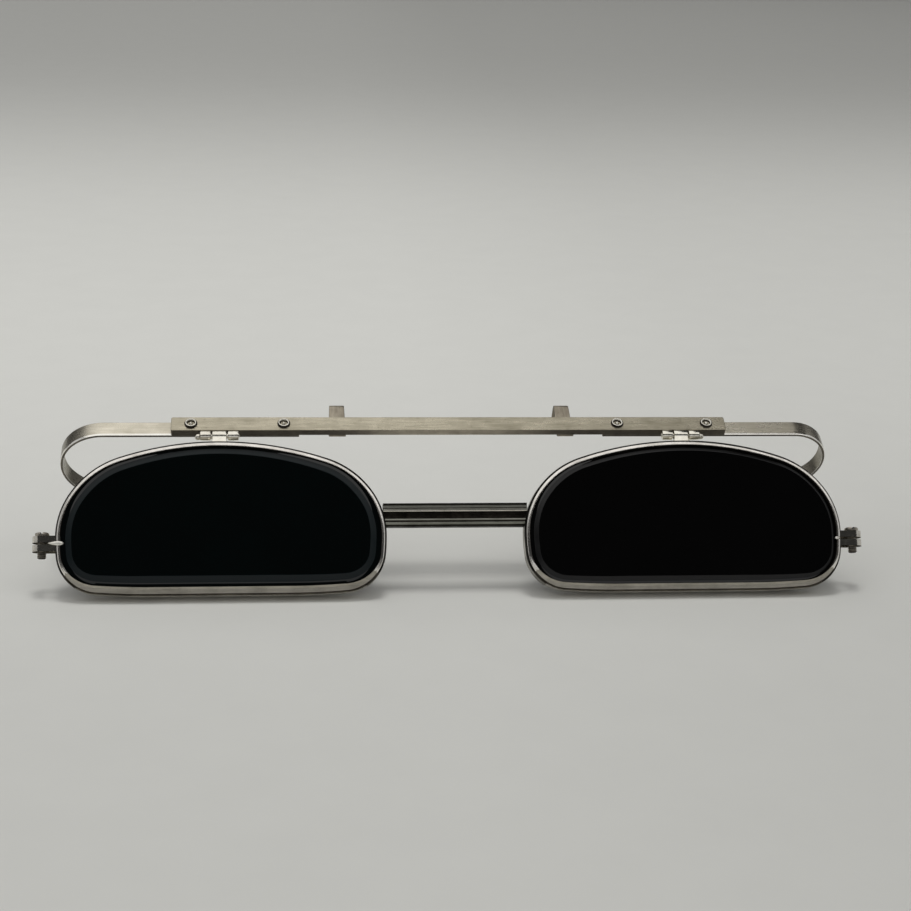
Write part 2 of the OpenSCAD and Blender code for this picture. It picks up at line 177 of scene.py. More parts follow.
def close_ends(bm):
    rims = [e for e in bm.edges if len(e.link_faces) == 1]
    bmesh.ops.holes_fill(bm, edges=rims, sides=0)


def lathe(bm, points):
    # points are (along the axis, radius) pairs, turned about X
    geom = ring(bm, [(x, 0, r) for x, r in points], closed=False)
    bmesh.ops.spin(
        bm, geom=geom, cent=(0, 0, 0), axis=(1, 0, 0), angle=math.tau, steps=LATHE_STEPS,
        use_merge=True,
    )
    bmesh.ops.remove_doubles(bm, verts=bm.verts, dist=0.0005)


# %% [markdown]
# ## Short words for nodes
# A material is a tree of nodes joined by links. Four small helpers keep the trees readable: one adds
# a shader node with its values, one joins two nodes by the names of their sockets, one turns a range
# of numbers into another, and one multiplies.

# %% Helpers for nodes
def add(tree, kind, **values):
    node = tree.nodes.new("ShaderNode" + kind)
    for key, value in values.items():
        if key in node.inputs:
            node.inputs[key].default_value = value
        else:
            setattr(node, key, value)
    return node


def linker(tree):
    def link(source, output, target, goal):
        tree.links.new(source.outputs[output], target.inputs[goal])

    return link


def remap(tree, low, high, to_low=0.0, to_high=1.0, **values):
    ends = {"From Min": low, "From Max": high, "To Min": to_low, "To Max": to_high}
    return add(tree, "MapRange", **ends, **values)


def times(tree, factor, operation="MULTIPLY"):
    node = add(tree, "Math", operation=operation)
    node.inputs[1].default_value = factor
    return node


# %% [markdown]
# ## Grain and wear
# Two effects come back in several finishes, so each is a shader node group that gives only values.
# The shaders themselves stay in the materials. Both groups read Object coordinates, which are metres
# in the object's own frame, so a pattern keeps its real size on every piece.

# %% Helper for node groups
def new_group(name, inputs, outputs):
    group = bpy.data.node_groups.new(name, "ShaderNodeTree")
    for label, kind in inputs.items():
        group.interface.new_socket(label, in_out="INPUT", socket_type="NodeSocket" + kind)
    for label in outputs:
        group.interface.new_socket(label, in_out="OUTPUT", socket_type="NodeSocketFloat")
    return group, group.nodes.new("NodeGroupInput"), group.nodes.new("NodeGroupOutput")


# %% [markdown]
# Brushed metal is covered with fine parallel lines. Here noise is squeezed across the brushing and
# drawn out along it, at two sizes, and the highest peaks of a third noise become single scratches.

# %% Node group: brushed grain
grain_group, into, out = new_group(
    "brushed_grain", {"Vector": "Vector", "Stretch": "Vector"}, ["Grain", "Scratches"],
)
stretched = add(grain_group, "VectorMath", operation="MULTIPLY")
streaks = add(grain_group, "TexNoise", Scale=1.0, Detail=5.0, Roughness=0.75)
bands = add(grain_group, "TexNoise", Scale=0.25, Detail=2.0, Roughness=0.5)
scratch_noise = add(grain_group, "TexNoise", Scale=0.6, Detail=1.0, Roughness=0.5)
FINE_SHARE = 0.65
fine = times(grain_group, FINE_SHARE)
both = times(grain_group, 1 - FINE_SHARE, "MULTIPLY_ADD")
contrast = remap(grain_group, 0.36, 0.64)
scratch = remap(grain_group, 0.66, 0.74)
link = linker(grain_group)
link(into, "Vector", stretched, 0)
link(into, "Stretch", stretched, 1)
for noise in (streaks, bands, scratch_noise):
    link(stretched, "Vector", noise, "Vector")
link(streaks, "Fac", fine, 0)
link(bands, "Fac", both, 0)
link(fine, "Value", both, 2)
link(both, "Value", contrast, "Value")
link(contrast, "Result", out, "Grain")
link(scratch_noise, "Fac", scratch, "Value")
link(scratch, "Result", out, "Scratches")
print("brushed_grain:", len(grain_group.nodes), "nodes")

# %% [markdown]
# The second group makes what hands and years leave behind. Large soft clouds of tarnish come from
# noise, and small dark specks from the distance to scattered points. Size sets how coarse both are.

# %% Node group: handling marks
marks_group, into, out = new_group(
    "handling_marks", {"Vector": "Vector", "Size": "Float"}, ["Tarnish", "Specks"],
)
clouds = add(marks_group, "TexNoise", Detail=5.0, Roughness=0.6)
points = add(marks_group, "TexVoronoi", feature="F1")
finer = times(marks_group, 5.0)
cloud_range = remap(marks_group, 0.40, 0.66)
speck_range = remap(marks_group, 0.17, 0.08)
link = linker(marks_group)
link(into, "Vector", clouds, "Vector")
link(into, "Size", clouds, "Scale")
link(into, "Vector", points, "Vector")
link(into, "Size", finer, 0)
link(finer, "Value", points, "Scale")
link(clouds, "Fac", cloud_range, "Value")
link(points, "Distance", speck_range, "Value")
link(cloud_range, "Result", out, "Tarnish")
link(speck_range, "Result", out, "Specks")
print("handling_marks:", len(marks_group.nodes), "nodes")


# %% [markdown]
# ## Between a clean and a worn state
# Every finish here has a clean colour and gloss, a worn colour and gloss, and one value that decides
# between them at each point. These helpers start a material and make that mix.

# %% Helpers for materials
def new_material(name):
    material = bpy.data.materials.new(name)
    material.use_nodes = True
    tree = material.node_tree
    return material, tree, tree.nodes["Principled BSDF"], add(tree, "TexCoord")


def two_states(tree, clean, worn, rough, rough_worn, source, output):
    colour = add(tree, "Mix", data_type="RGBA")
    colour.inputs["A"].default_value = (*clean, 1)
    colour.inputs["B"].default_value = (*worn, 1)
    gloss = remap(tree, 0.0, 1.0, rough, rough_worn)
    link = linker(tree)
    link(source, output, colour, "Factor")
    link(source, output, gloss, "Value")
    return colour, gloss


# %% [markdown]
# Some strips are painted darker away from the middle of the object: painted shade on the loops of the
# arms and towards the ends of the bar's front. The distance from the middle of the object along X then
# scales the colour, smoothly between two places.

# %% Helper for painted shade to the sides
def paint_shade_aside(tree, where, colour, start, end, factor):
    split = add(tree, "SeparateXYZ")
    aside = add(tree, "Math", operation="ABSOLUTE")
    amount = remap(tree, start, end, 1.0, factor, interpolation_type="SMOOTHSTEP")
    shaded_colour = add(tree, "VectorMath", operation="SCALE")
    link = linker(tree)
    link(where, "Object", split, "Vector")
    link(split, "X", aside, 0)
    link(aside, "Value", amount, "Value")
    link(colour, "Result", shaded_colour, 0)
    link(amount, "Result", shaded_colour, "Scale")
    return shaded_colour


# %% [markdown]
# ## A recipe for worn metal
# Grain, tarnish, scratches and specks together decide how worn a metal is at each point. The grain
# also lifts the surface a little, so that it catches the light. Shares tell how much the grain, the
# tarnish and the specks each pull the metal towards its worn state. Scratches are bright and pull it
# back, half as much as the specks.

# %% The metal recipe
def metal(
    name, clean, worn, rough, rough_worn, stretch, size, bump, lean=0, shares=(0.5, 0.5, 0.3),
    side_shade=None,
):
    material, tree, shader, where = new_material(name)
    shader.inputs["Metallic"].default_value = 1.0
    turned = add(tree, "Mapping", Rotation=(math.radians(-lean), 0, 0))
    grain = add(tree, "Group", node_tree=grain_group)
    grain.inputs["Stretch"].default_value = stretch
    marks = add(tree, "Group", node_tree=marks_group)
    marks.inputs["Size"].default_value = size
    height = add(tree, "Bump", Strength=bump[0], Distance=bump[1])
    link = linker(tree)
    link(where, "Object", turned, "Vector")
    link(turned, "Vector", grain, "Vector")
    link(turned, "Vector", marks, "Vector")
    wearing = (
        (grain, "Grain", shares[0]), (marks, "Tarnish", shares[1]),
        (grain, "Scratches", -shares[2] / 2), (marks, "Specks", shares[2]),
    )
    wear = None
    for source, output, share in wearing:
        step = times(tree, share, "MULTIPLY_ADD")
        step.inputs[2].default_value = 0.0
        link(source, output, step, 0)
        if wear:
            link(wear, "Value", step, 2)
        wear = step
    wear.use_clamp = True
    colour, gloss = two_states(tree, clean, worn, rough, rough_worn, wear, "Value")
    # an optional painted shade darkens the colour away from the middle of the object
    if side_shade:
        link(paint_shade_aside(tree, where, colour, *side_shade), "Vector", shader, "Base Color")
    else:
        link(colour, "Result", shader, "Base Color")
    link(gloss, "Result", shader, "Roughness")
    link(grain, "Grain", height, "Height")
    link(height, "Normal", shader, "Normal")
    return material


# %% [markdown]
# ## The metals of the frame
# The bar and hooks are nickel silver, brushed along their length. Their sawn edges get darker metals,
# painted shade, and the bar's faces other than its top are painted darker towards both ends, lightest
# in the middle. The spring strip is the same metal, rolled hard, with a painted highlight along one
# corner and painted shade on its loops.

# %% Metals of the bar, arms and hooks
ALONG_X = (260.0, 3200.0, 3200.0)
ACROSS_X = (3200.0, 260.0, 3200.0)
ALL_WAYS = (2600.0, 2600.0, 2600.0)
bar_metal = metal(
    "brushed_nickel_silver", (0.60, 0.55, 0.43), (0.33, 0.30, 0.22), 0.22, 0.40,
    ALONG_X, 220.0, (0.5, 0.00004), BAR_LEAN, (0.62, 0.38, 0.4),
)
hook_metal = metal(
    "worn_hook_strip", (0.54, 0.48, 0.38), (0.30, 0.265, 0.21), 0.30, 0.48,
    ACROSS_X, 260.0, (0.5, 0.00004), BAR_LEAN, (0.55, 0.45, 0.4),
)
# a dark metal for cut edges and part of the rims' outline: painted shade
dark_edge_paint = metal(
    "edge_painted_shade", (0.25, 0.23, 0.19), (0.11, 0.10, 0.085), 0.40, 0.6,
    ALONG_X, 260.0, (0.4, 0.00004), BAR_LEAN,
)
# the bar's faces other than its top, painted darker towards both ends: painted shade
bar_faces_painted_shade = metal(
    "bar_front_painted_shade", (0.60, 0.54, 0.44), (0.34, 0.30, 0.24), 0.34, 0.5,
    ALONG_X, 260.0, (0.4, 0.00004), BAR_LEAN, side_shade=(0.006, 0.021, 0.38),
)
spring_metal = metal(
    "rolled_spring_strip", (0.78, 0.73, 0.61), (0.52, 0.48, 0.38), 0.20, 0.42,
    ALONG_X, 260.0, (0.4, 0.00003), BAR_LEAN, (0.5, 0.45, 0.3), side_shade=(0.056, 0.062, 0.42),
)
# a bright metal for a line along the front corner of the arms: painted highlight
highlight_line_metal = metal(
    "painted_highlight_line", (1.0, 0.98, 0.93), (0.84, 0.81, 0.72), 0.12, 0.26,
    ALONG_X, 260.0, (0.25, 0.00003), BAR_LEAN, (0.3, 0.45, 0.3),
)
print("strip metals:", sorted(m.name for m in bpy.data.materials))

# %% [markdown]
# ## The metals of the lens frame
# A rim is polished on its crown and filed on its wall. Where the two meet it is near-black, a painted
# dark reflection of the dim room, but along the lower edge the wall takes the polished metal, a
# painted reflection of the pale table. Its lower lip is worn to satin by being stood on. Solder is
# nearly white, polished on the hinges and dull at the slits, and the screws are old steel. Slots,
# hollows, grooves and a few fine lines take a near-black material: painted shade and dark reflection.

# %% Metals of the rims and small parts
rim_metal = metal(
    "polished_rim_metal", (0.93, 0.90, 0.85), (0.62, 0.59, 0.54), 0.14, 0.28,
    ALL_WAYS, 320.0, (0.12, 0.00002), LENS_LEAN, (0.3, 0.6, 0.35),
)
SMALL_PARTS = (ALL_WAYS, 420.0, (0.25, 0.00004), 0, (0.3, 0.5, 0.35))
pale_metal = metal("solder_and_rivets", (0.95, 0.92, 0.83), (0.66, 0.62, 0.52), 0.16, 0.32, *SMALL_PARTS)
solder_metal = metal("silver_solder", (0.98, 0.95, 0.86), (0.78, 0.74, 0.62), 0.12, 0.24, *SMALL_PARTS)
streak_metal = metal("dull_solder", (0.98, 0.97, 0.92), (0.86, 0.84, 0.76), 0.42, 0.56, *SMALL_PARTS)
bridge_metal = metal(
    "worn_bridge_metal", (0.29, 0.29, 0.255), (0.17, 0.17, 0.145), 0.30, 0.46,
    ALONG_X, 320.0, (0.3, 0.00004), LENS_LEAN, (0.55, 0.45, 0.35),
)
dark_metal = metal(
    "old_screw_steel", (0.52, 0.48, 0.41), (0.22, 0.20, 0.17), 0.24, 0.46,
    ALL_WAYS, 480.0, (0.35, 0.00004),
)
# a near-black for slots, hollows, grooves and fine lines: painted shade and dark reflection
shade_paint = metal(
    "painted_shade_and_dark_reflection", (0.085, 0.075, 0.062), (0.03, 0.027, 0.022), 0.55, 0.75,
    ALL_WAYS, 600.0, (0.4, 0.00004),
)
low_rim_metal = metal(
    "worn_satin_rim", (0.54, 0.51, 0.445), (0.33, 0.31, 0.265), 0.42, 0.58,
    ALONG_X, 320.0, (0.3, 0.00004), LENS_LEAN, (0.5, 0.5, 0.35),
)
# a near-black for the outer rounding of the rims: painted dark reflection
rim_side_dark_reflection = metal(
    "rim_side_painted_dark_reflection", (0.03, 0.028, 0.023), (0.016, 0.015, 0.012), 0.4, 0.6,
    ALL_WAYS, 320.0, (0.2, 0.00003), LENS_LEAN, (0.4, 0.6, 0.35),
)
rim_wall_metal = metal(
    "filed_rim_wall", (0.44, 0.42, 0.37), (0.24, 0.23, 0.20), 0.28, 0.44,
    ALL_WAYS, 320.0, (0.25, 0.00003), LENS_LEAN, (0.4, 0.6, 0.35),
)
ear_metal = metal(
    "polished_ears", (0.74, 0.71, 0.64), (0.40, 0.38, 0.33), 0.09, 0.24,
    ALL_WAYS, 420.0, (0.2, 0.00003), LENS_LEAN, (0.3, 0.6, 0.35),
)
print("all metals:", len(bpy.data.materials))

# %% [markdown]
# ## The glass
# Glass this dark looks black, with a trace of green, and all of its life is in the reflections on
# its polished face. The bevel round it is only ground, so it is grey and satin. A haze of dust and
# a wipe mark or two break up the gloss.

# %% Polished and ground glass
def glass(name, base, dusty, rough, rough_dust, size, shine=0.5):
    material, tree, shader, where = new_material(name)
    shader.inputs["Metallic"].default_value = 0.0
    shader.inputs["IOR"].default_value = 1.52
    shader.inputs["Specular IOR Level"].default_value = shine
    marks = add(tree, "Group", node_tree=marks_group)
    marks.inputs["Size"].default_value = size
    colour, gloss = two_states(tree, base, dusty, rough, rough_dust, marks, "Tarnish")
    link = linker(tree)
    link(where, "Object", marks, "Vector")
    link(colour, "Result", shader, "Base Color")
    link(gloss, "Result", shader, "Roughness")
    return material


# %% [markdown]
# The two glasses come from different sheets: the left one is a trace greener. Both are darker than
# paint, so their base colours are thousandths.

# %% The four glasses
MARKS_WIDE = 60.0
MARKS_FINE = 300.0
teal = glass("teal_black_glass", (0, 0.0011, 0.0011), (0, 0.0016, 0.0016), 0.02, 0.06, MARKS_WIDE)
black = glass("black_glass", (0.0003,) * 3, (0.0006,) * 3, 0.02, 0.06, MARKS_WIDE)
ground_teal = glass(
    "ground_teal_glass", (0.0038, 0.008, 0.0095), (0.006, 0.0105, 0.012), 0.36, 0.5, MARKS_FINE, 0.26,
)
ground_black = glass(
    "ground_black_glass", (0.002, 0.002, 0.0022), (0.004, 0.004, 0.0045), 0.30, 0.42, MARKS_FINE, 0.36,
)
glasses = {"left": [teal, ground_teal], "right": [black, ground_black]}
print("glasses:", {side: [g.name for g in pair] for side, pair in glasses.items()})

# %% [markdown]
# ## The brow bar
# The bar is a plain flat strip, cut to length, with its corners just broken. A block from one
# operator, rounded twice, is all it needs: first the four upright corners, then every edge.

# %% Brow bar
BAR_L = 91.4
BAR_W = 3.0
BAR_T = 1.2
BAR_CORNER = 0.3
BAR_SOFT = 0.1
BAR_SETBACK = 0.85
BAR_RISE = 0.45
BAR_UNDER = BAR_RISE - BAR_T
BAR_MID = BAR_SETBACK + BAR_W / 2
bm = bmesh.new()
bmesh.ops.create_cube(bm, size=1, matrix=Matrix.Diagonal((BAR_L, BAR_W, BAR_T, 1)))
bmesh.ops.translate(bm, vec=(0, BAR_MID, BAR_RISE - BAR_T / 2), verts=bm.verts)


def upright(edge):
    return abs(edge.verts[0].co.z - edge.verts[1].co.z) > BAR_T / 2


round_edges(bm, BAR_CORNER, keep=upright)
round_edges(bm, BAR_SOFT)
bmesh.ops.recalc_face_normals(bm, faces=bm.faces)
# the top keeps the brushed metal; the other faces take the one with painted shade towards the ends
for face in bm.faces:
    face.material_index = 0 if face.normal.z > 0.6 else 1
bar_metals = [bar_metal, bar_faces_painted_shade]
finish("brow_bar_strip", bm, bar_frame, "brow_bar", "bar_metal", bar_metals, "top_bar")

# %% [markdown]
# ## Bent strips
# The two spring arms and the two hooks are flat strip, bent on simple round formers. Each is given
# as a row of steps: a straight run, then a turn on a radius. A positive turn bends the strip down.

# %% The helper that bends a strip
WORN_SLOPE = 0.16
STRIP_SOFT = 0.12
TURN_STEP = 3


def bent_strip(bm, start, steps, wide, thick, line=0):
    # line: the width of a slightly worn-down line along the front of the upper face
    low, high = -thick / 2, thick / 2
    section = [(-wide / 2, low), (wide / 2, low), (wide / 2, high)]
    if line:
        section.append((line - wide / 2, high))
    section.append((-wide / 2, high - WORN_SLOPE * line))
    geom = ring(bm, [(0, y, z) for y, z in section])
    at = Vector((0, 0, 0))
    heading = 0
    for run, turn, radius in steps:
        down, along = sin_cos(heading)
        ahead = Vector((along, 0, -down))
        if run:
            geom = push_on(bm, geom, run * ahead)
            at += run * ahead
        if turn:
            inward = Vector((ahead.z, 0, -ahead.x)) * math.copysign(radius, turn)
            centre = at + inward
            geom = spin_on(bm, geom, centre, (0, 1, 0), turn, math.ceil(abs(turn) / TURN_STEP))
            at = centre + Matrix.Rotation(math.radians(turn), 3, "Y") @ (at - centre)
            heading += turn
    close_ends(bm)
    round_edges(bm, STRIP_SOFT)
    bmesh.ops.translate(bm, vec=start, verts=bm.verts)


# %% [markdown]
# ## Spring arms
# Each arm leaves the bar, loops round, comes back in under itself and ends in a small claw that
# grips the edge of the spectacles. The left loop was bent a little wider than the right one. A bright
# metal along the front corner of the strip is a painted highlight, and its cut edge below that takes a
# dark metal, painted shade.

# %% Spring arms
ARM_W = 3.0
ARM_T = 0.45
ARM_LINE = 0.42
ARM_START = 25
ARM_REACH = 64
LOOP_R = {"left": 7.2, "right": 6.2}
LOOP_TURN = 135
ARM_RETURN = 3.0
EASE_R = 5.0
CLAW_R = 1.6
CLAW_TURN = 150
CLAW_TIP = 1.2
ARM_MID_Z = BAR_UNDER - ARM_T / 2
lean_sin, lean_cos = sin_cos(BAR_LEAN)
CLAW_LOW = -(HINGE_AXIS.z + BAR_SETBACK * lean_sin) / lean_cos
turn_sin, turn_cos = sin_cos(LOOP_TURN)
arm_metals = [spring_metal, highlight_line_metal, dark_edge_paint]
for side, place in on_bar.items():
    loop_r = LOOP_R[side]
    fallen = loop_r * (1 - turn_cos) + ARM_RETURN * turn_sin - EASE_R * turn_cos
    upright_run = ARM_MID_Z - CLAW_LOW - ARM_T / 2 - CLAW_R - fallen
    steps = [
        (ARM_REACH - ARM_T / 2 - loop_r - ARM_START, LOOP_TURN, loop_r),
        (ARM_RETURN, 90 - LOOP_TURN, EASE_R),
        (upright_run, CLAW_TURN, CLAW_R),
        (CLAW_TIP, 0, 0),
    ]
    bm = bmesh.new()
    bent_strip(bm, (ARM_START, BAR_MID, ARM_MID_Z), steps, ARM_W, ARM_T, ARM_LINE)
    bm.normal_update()
    # the cut front edge takes the dark metal, painted shade; the line along the front of the upper face
    # takes the bright one, painted highlight
    for face in bm.faces:
        in_line = face.calc_center_median().y < BAR_MID - ARM_W / 2 + ARM_LINE
        face.material_index = 2 if face.normal.y < -0.6 else 1 if in_line else 0
    finish(f"spring_arm_{side}", bm, place, "brow_bar", "spring_strip", arm_metals, f"arm_{side}")

# %% [markdown]
# ## Hooks
# A short strip under the bar runs back and turns down, so that it drops over the bridge side of the
# spectacles. Only its tab shows behind the bar and its end below it.

# %% Hooks
HOOK_W = 2.8
HOOK_T = 0.4
HOOK_X = 18.8
HOOK_R = 0.9
HOOK_BEHIND = 4.09
HOOK_RUN = BAR_W + HOOK_BEHIND - (HOOK_R - HOOK_T / 2)
HOOK_LEG = 4.2
TAPER_FROM = 3.0
TAPER = 0.14
hook_metals = [hook_metal, dark_edge_paint]
for side, place in on_bar.items():
    bm = bmesh.new()
    bent_strip(bm, (0, 0, 0), [(HOOK_RUN, 90, HOOK_R), (HOOK_LEG, 0, 0)], HOOK_W, HOOK_T)
    for vert in bm.verts:
        far = max(0.0, vert.co.x - TAPER_FROM) / (HOOK_RUN + HOOK_R - TAPER_FROM)
        vert.co.y *= 1 - TAPER * min(far, 1)
    bm.normal_update()
    # the cut sides of a hook take the dark edge metal: painted shade
    for face in bm.faces:
        face.material_index = 1 if abs(face.normal.y) > 0.5 else 0
    bmesh.ops.rotate(bm, matrix=Matrix.Rotation(math.radians(90), 3, "Z"), verts=bm.verts)
    bmesh.ops.translate(bm, vec=(HOOK_X, BAR_SETBACK, BAR_UNDER - HOOK_T / 2), verts=bm.verts)
    finish(f"hook_strip_{side}", bm, place, "brow_bar", "bar_metal", hook_metals, f"hook_{side}")

# %% [markdown]
# ## Rivets
# Each arm is held by two tubular rivets. Their ends are flared by a punch into a ring with a bright
# dimple, so half of the profile is drawn and turned on a lathe.

# %% Rivets
RIVET_R = 1.05
RIVET_SHANK_R = 0.55
RIVET_IN = 27.5
RIVET_FROM_END = 3.2
RIVET_OUT = BAR_L / 2 - RIVET_FROM_END
tail = -BAR_T - ARM_T
rivet_line = [
    (tail - 0.34, 0), (tail - 0.30, 0.36), (tail - 0.19, 0.66), (tail - 0.05, 0.83), (tail, 0.84),
    (tail, RIVET_SHANK_R), (0, RIVET_SHANK_R), (0, 1.02), (0.05, RIVET_R), (0.12, 1.04),
    (0.27, 0.96), (0.36, 0.89), (0.40, 0.81), (0.39, 0.73), (0.33, 0.66), (0.20, 0.60),
    (0.05, 0.55), (-0.06, 0.46), (-0.06, 0.36), (0.08, 0.28), (0.20, 0.2), (0.27, 0.1), (0.29, 0),
]


def in_the_dark(face):
    # the outer foot of the flare and the wall of the hollow take the near-black material: painted shade
    middle = face.calc_center_median()
    radius = math.hypot(middle.y, middle.z)
    return middle.x > -0.09 and (radius > 0.92 or 0.28 < radius < 0.60)


stand_up = Matrix.Rotation(math.radians(-90), 4, "Y")
for side, side_frame in on_bar.items():
    for name, x in (("inner", RIVET_IN), ("outer", RIVET_OUT)):
        bm = bmesh.new()
        lathe(bm, rivet_line)
        for face in bm.faces:
            face.material_index = 1 if in_the_dark(face) else 0
        place = side_frame @ Matrix.Translation((x, BAR_MID, BAR_RISE)) @ stand_up
        finish(
            f"flared_rivet_{side}_{name}", bm, place, "brow_bar", "bright_metal",
            [pale_metal, shade_paint], f"rivet_{side}_{name}", crease=50,
        )

# %% [markdown]
# ## Hinges
# A hinge is three short tubes on one pin. The two outer tubes are soldered to the front of the bar
# and the middle one stands on a leg on top of the rim. The pin is closed by a bead of solder.

# %% Sizes of a hinge
BARREL_R = 0.8
BARREL_SOFT = 0.14
PIN_R = 0.4
TURN_PLAY = 0.04
HINGE_X = 37.85
MID_L = 2.3
END_L = 1.75
GAP = 0.2
BEAD_R = 0.525
BEAD_SAG = 0.26
FOOT_SOFT = 0.1
FOOT_FRONT = 0.05
FOOT_BACK = BAR_SETBACK + 0.1
FOOT_LOW = BAR_UNDER + 0.15
FOOT_HIGH = BAR_RISE - 0.15
inner_x = HINGE_X - MID_L / 2 - GAP - END_L
outer_x = HINGE_X + MID_L / 2 + GAP
print("a hinge reaches from", round(inner_x, 2), "to", round(outer_x + END_L, 2), "mm")

# %% [markdown]
# Tubes come off the lathe and a foot is a small block. Each is made by itself, so that only its own
# edges are rounded, and is then joined into the piece that it belongs to.

# %% Helpers for tubes and feet
def join_into(bm, own):
    made = bpy.data.meshes.new("part")
    own.to_mesh(made)
    own.free()
    bm.from_mesh(made)
    bpy.data.meshes.remove(made)


def tube(bm, x, length, bore):
    end = x + length
    soft = BARREL_SOFT
    low, mid = BARREL_R - soft, BARREL_R - soft * 0.3
    own = bmesh.new()
    lathe(own, [
        (x, bore), (x, low), (x + soft * 0.3, mid), (x + soft, BARREL_R), (end - soft, BARREL_R),
        (end - soft * 0.3, mid), (end, low), (end, bore), (x, bore),
    ])
    join_into(bm, own)


def foot(bm, low, high):
    own = bmesh.new()
    low, high = Vector(low), Vector(high)
    place = Matrix.Translation((low + high) / 2) @ Matrix.Diagonal((*(high - low), 1))
    bmesh.ops.create_cube(own, size=1, matrix=place)
    round_edges(own, FOOT_SOFT)
    join_into(bm, own)


# %% [markdown]
# The outer tubes stay with the bar, each on its foot, and so does the pin, which they hold tight.
# The bead at the pin's outer end has sagged a little, as melted solder does.

# %% Outer barrels and pins
for side, place in on_bar.items():
    bm = bmesh.new()
    for x in (inner_x, outer_x):
        tube(bm, x, END_L, PIN_R)
        foot(bm, (x, FOOT_FRONT, FOOT_LOW), (x + END_L, FOOT_BACK, FOOT_HIGH))
    finish(
        f"outer_barrels_{side}", bm, place, "brow_bar", "bright_metal", [solder_metal],
        f"hinge_barrels_{side}",
    )
    bm = bmesh.new()
    pin_end = outer_x + END_L + 0.01
    lathe(bm, [
        (inner_x - 0.11, 0), (inner_x - 0.11, PIN_R - 0.08), (inner_x - 0.03, PIN_R),
        (pin_end, PIN_R), (pin_end, BEAD_R * 0.8), (pin_end + 0.12, BEAD_R),
        (pin_end + 0.45, BEAD_R * 0.99), (pin_end + 0.65, BEAD_R * 0.85),
        (pin_end + 0.8, BEAD_R * 0.58), (pin_end + 0.87, BEAD_R * 0.3), (pin_end + 0.89, 0),
    ])
    beads = [v for v in bm.verts if v.co.x > pin_end - 0.001]
    bmesh.ops.translate(bm, vec=(0, 0, -BEAD_SAG), verts=beads)
    finish(
        f"pin_and_bead_{side}", bm, place, "brow_bar", "bright_metal", [pale_metal],
        f"hinge_pin_{side}",
    )

# %% [markdown]
# The middle tube belongs to the lenses. Its leg spreads where the solder runs out on the rim, so a
# flat outline with hollow sides is drawn first, and pushed to its thickness afterwards.

# %% Middle barrels on their legs
RIM_DROP = 1.3
RIM_BEHIND = 0.45
LEG_T = 1.2
LEG_SOFT = 0.12
LEG_FLARE = 0.55
LEG_WAIST = -0.75
LEG_FOOT = -RIM_DROP - 0.35
FILLET = 0.47
leg_side = [
    (0, -0.2), (0, LEG_WAIST), (0.06, -0.98), (0.2, -1.15), (LEG_FLARE, -1.27), (LEG_FLARE, LEG_FOOT),
]
for side, place in on_lens.items():
    own = bmesh.new()
    right_side = [(HINGE_X + MID_L / 2 + flare, y) for flare, y in leg_side]
    left_side = [(HINGE_X - MID_L / 2 - flare, y) for flare, y in leg_side[::-1]]
    geom = ring(own, [(x, y, -RIM_BEHIND + 0.02) for x, y in right_side + left_side])
    push_on(own, geom, (0, 0, LEG_T))
    close_ends(own)
    round_edges(own, LEG_SOFT)
    for vert in own.verts:
        if vert.co.z > 0.2:
            vert.co.z += FILLET * max(0.0, LEG_WAIST - vert.co.y)
    bm = bmesh.new()
    tube(bm, HINGE_X - MID_L / 2, MID_L, PIN_R + TURN_PLAY)
    join_into(bm, own)
    finish(
        f"middle_barrel_{side}", bm, place, "lens_frame", "rim_metal", [solder_metal],
        f"hinge_tab_{side}",
    )

# %% [markdown]
# ## The outline of the rims
# A rim's outline is a ring of arcs that run smoothly into each other: a flat dome, a shoulder, a
# side, then a lower side, a corner and a nearly straight lower edge. The radii that aren't chosen
# follow from the width and the height.

# %% Outline arcs
RIM_W = 52.3
RIM_H = 24.9
RIM_WIDEST = 15.3
RIM_APEX = 0.6
DOME_TURN = 18.5
SHOULDER_TURN = 56
SIDE_R = 12.5
BASE_R = 110
BASE_TURN = 4.5
CORNER_TURN = 83.5
LOWER_SIDE_R = 28.5
RIM_MIDDLE = 37.25


def quarter(across, down):
    s1, c1 = sin_cos(DOME_TURN)
    s2, c2 = sin_cos(SHOULDER_TURN)
    a0 = across - SIDE_R * (1 - s2)
    b0 = down - SIDE_R * c2
    det = s1 * (c1 - c2) - (s2 - s1) * (1 - c1)
    dome = (a0 * (c1 - c2) - (s2 - s1) * b0) / det
    shoulder = (s1 * b0 - a0 * (1 - c1)) / det
    return [(dome, DOME_TURN), (shoulder, SHOULDER_TURN - DOME_TURN), (SIDE_R, 90 - SHOULDER_TURN)]


sb, cb = sin_cos(BASE_TURN)
sc, cc = sin_cos(CORNER_TURN)
CORNER_R = (RIM_H - RIM_WIDEST - BASE_R * (1 - cb) - LOWER_SIDE_R * cc) / (cb - cc)
BASE_FLAT = RIM_W / 2 - BASE_R * sb - CORNER_R * (sc - sb) - LOWER_SIDE_R * (1 - sc)
base = [(BASE_R, BASE_TURN), (CORNER_R, CORNER_TURN - BASE_TURN), (LOWER_SIDE_R, 90 - CORNER_TURN)]
temple = quarter(RIM_W / 2 - RIM_APEX, RIM_WIDEST)
nasal = quarter(RIM_W / 2 + RIM_APEX, RIM_WIDEST)
# From the temple side's widest point: down, along the base, up the nasal side and over the dome
outline = base[::-1] + [(0, 2 * BASE_FLAT)] + base + nasal[::-1] + temple
print("dome radii in mm:", [round(r, 2) for r, turn in temple + nasal], "corner", round(CORNER_R, 2))


